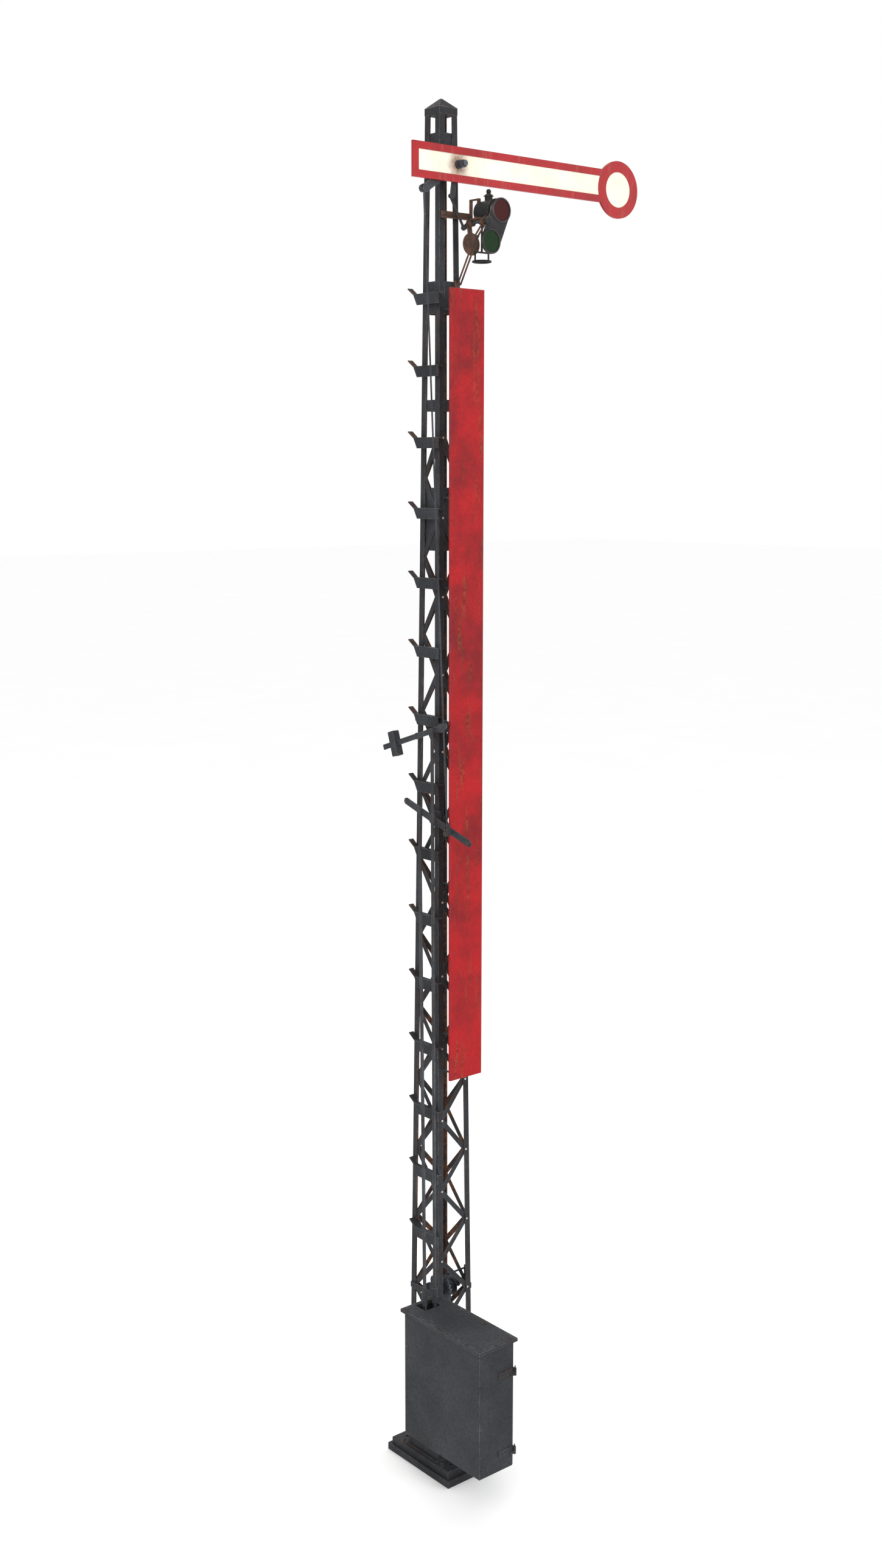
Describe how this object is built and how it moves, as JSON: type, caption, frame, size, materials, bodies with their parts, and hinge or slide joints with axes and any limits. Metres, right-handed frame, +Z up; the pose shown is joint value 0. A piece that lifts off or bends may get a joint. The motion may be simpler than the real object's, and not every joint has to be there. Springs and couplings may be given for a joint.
{
  "type": "railway semaphore signal",
  "caption": "Railway semaphore main signal: lattice mast on a pedestal with a red-edged white arm, spectacle with lamp, mast board, step irons, levers, rods and a drive box.",
  "frame": {"origin": "centre of the lower base plate on its underside, on the mast axis", "axes": "+Z up along the mast, +X towards the round end of the arm, -Y towards the side the arm faces"},
  "size_m": [1.8589, 1.2265, 8.246],
  "materials": {
    "mast_paint": "weathered satin paint",
    "box_paint": "weathered satin paint",
    "zinc_rivets": "dull",
    "board_red": "weathered paint",
    "arm_red": "enamel",
    "arm_white": "enamel",
    "shaft_steel": "dull",
    "rusted_steel": "rusted",
    "lever_paint": "worn paint",
    "lamp_black": "satin",
    "red_glass": "polished",
    "green_glass": "polished",
    "lens_glass": "polished"
  },
  "bodies": {
    "mast": {"arm_bearings": "lever_paint", "base_plate_lower": "mast_paint", "base_plate_upper": "mast_paint", "batten_plates": "mast_paint", "board_stays": "lever_paint", "box_brackets": "mast_paint", "drive_box": "box_paint", "drive_frame": "rusted_steel", "drive_lid": "box_paint", "gusset_plates": "mast_paint", "lacing_back": "mast_paint", "lacing_front": "mast_paint", "lacing_left": "mast_paint", "lacing_right": "mast_paint", "lamp_body": "lamp_black", "lamp_bracket": "rusted_steel", "lamp_carrier": "lamp_black", "lamp_chimney": "lamp_black", "lamp_lens": "lens_glass", "lamp_strut": "rusted_steel", "lattice_rivets": "zinc_rivets", "mast_cap": "mast_paint", "mast_head": "mast_paint", "mast_leg_far": "mast_paint", "mast_leg_left": "mast_paint", "mast_leg_near": "mast_paint", "mast_leg_right": "mast_paint", "pedestal": "mast_paint", "rod_lever_bracket": "lever_paint", "signal_board": "board_red", "step_irons_1": "mast_paint", "step_irons_2": "mast_paint", "step_irons_3": "mast_paint", "weight_lever_bracket": "lever_paint", "winch_bars": "mast_paint"},
    "arm": {"arm_blade": "arm_red", "arm_panel": "arm_white", "arm_disc": "arm_white", "arm_shaft": "shaft_steel", "arm_nut_and_collars": "shaft_steel", "arm_crank": "lever_paint"},
    "pull_rod_fork": {"pull_rod_fork": "lever_paint"},
    "pull_rod": {"pull_rod": "lever_paint"},
    "rod_lever": {"rod_lever": "lever_paint"},
    "weight_lever": {"weight_lever": "lever_paint", "counterweight": "lever_paint"},
    "drive_rod": {"drive_rod": "lever_paint"},
    "return_rod": {"return_rod": "lever_paint"},
    "drive_crank": {"drive_crank": "shaft_steel"},
    "wire_pulley": {"wire_pulley": "shaft_steel"},
    "spectacle": {"spectacle_frame": "lamp_black", "spectacle_axle": "shaft_steel", "blinder_disc": "rusted_steel", "red_glass": "red_glass", "green_glass": "green_glass"},
    "spectacle_rod": {"spectacle_rod": "lever_paint"},
    "drive_door": {"drive_door": "box_paint"},
    "winch": {"winch_drum": "shaft_steel", "ratchet_wheel": "shaft_steel"},
    "winch_pawl": {"winch_pawl": "shaft_steel"}
  },
  "joints": [
    {"name": "arm_pivot", "type": "hinge", "parent": "mast", "child": "arm", "pos_m": [0, -0.1, 7.877], "axis": [0, -1, 0], "range_deg": [0, 45]},
    {"name": "rod_lever_pivot", "type": "hinge", "parent": "mast", "child": "rod_lever", "pos_m": [-0.15, -0.102, 4.188], "axis": [1, 0, 0], "range_deg": [0, 46.25]},
    {"name": "fork_pivot", "type": "hinge", "parent": "rod_lever", "child": "pull_rod_fork", "pos_m": [-0.192, -0.2844, 4.136], "axis": [-1, 0, 0], "range_deg": [0, 44.9]},
    {"name": "pull_rod_pivot", "type": "hinge", "parent": "pull_rod_fork", "child": "pull_rod", "pos_m": [-0.192, -0.2844, 4.18], "axis": [0, 1, 0], "range_deg": [0, 2.5]},
    {"name": "drive_rod_pivot", "type": "hinge", "parent": "rod_lever", "child": "drive_rod", "pos_m": [-0.161, 0.0058, 4.2218], "axis": [-1, 0, 0], "range_deg": [0, 45.2]},
    {"name": "weight_lever_pivot", "type": "hinge", "parent": "mast", "child": "weight_lever", "pos_m": [-0.15, -0.178, 4.738], "axis": [1, 0, 0], "range_deg": [0, 37.1]},
    {"name": "return_rod_pivot", "type": "hinge", "parent": "weight_lever", "child": "return_rod", "pos_m": [-0.161, -0.11154, 4.71602], "axis": [-1, 0, 0], "range_deg": [0, 37.1]},
    {"name": "drive_crank_pivot", "type": "hinge", "parent": "mast", "child": "drive_crank", "pos_m": [-0.295, -0.283, 0.834], "axis": [1, 0, 0], "range_deg": [0, 83.1]},
    {"name": "wire_pulley_pivot", "type": "hinge", "parent": "mast", "child": "wire_pulley", "pos_m": [-0.295, -0.608, 0.834], "axis": [-1, 0, 0], "range_deg": [0, 187]},
    {"name": "spectacle_pivot", "type": "hinge", "parent": "mast", "child": "spectacle", "pos_m": [0.1014, -0.2, 7.573], "axis": [0, -1, 0], "range_deg": [0, 115.1]},
    {"name": "spectacle_rod_pivot", "type": "hinge", "parent": "arm", "child": "spectacle_rod", "pos_m": [-0.0228, -0.118, 7.7122], "axis": [0, 1, 0], "range_deg": [0, 66.8]},
    {"name": "drive_door_hinge", "type": "hinge", "parent": "mast", "child": "drive_door", "pos_m": [-0.147, -0.854, 0.8], "axis": [0, 0, -1], "range_deg": [0, 110]},
    {"name": "winch_spin", "type": "hinge", "parent": "mast", "child": "winch", "pos_m": [0, 0, 1.155], "axis": [1, 0, 0], "continuous": true},
    {"name": "winch_pawl_pivot", "type": "hinge", "parent": "mast", "child": "winch_pawl", "pos_m": [0, -0.08, 1.285], "axis": [-1, 0, 0], "range_deg": [0, 35]}
  ],
  "couplings": [
    {"joint": "rod_lever_pivot", "follows": "arm_pivot", "ratio": 1.0269},
    {"joint": "fork_pivot", "follows": "arm_pivot", "ratio": 0.99663},
    {"joint": "pull_rod_pivot", "follows": "arm_pivot", "ratio": 0.055382},
    {"joint": "drive_rod_pivot", "follows": "arm_pivot", "ratio": 1.0037},
    {"joint": "weight_lever_pivot", "follows": "arm_pivot", "ratio": 0.82222},
    {"joint": "return_rod_pivot", "follows": "arm_pivot", "ratio": 0.8211},
    {"joint": "drive_crank_pivot", "follows": "arm_pivot", "ratio": 1.8444},
    {"joint": "wire_pulley_pivot", "follows": "arm_pivot", "ratio": 4.15},
    {"joint": "spectacle_pivot", "follows": "arm_pivot", "ratio": 2.5556},
    {"joint": "spectacle_rod_pivot", "follows": "arm_pivot", "ratio": 1.4809}
  ]
}
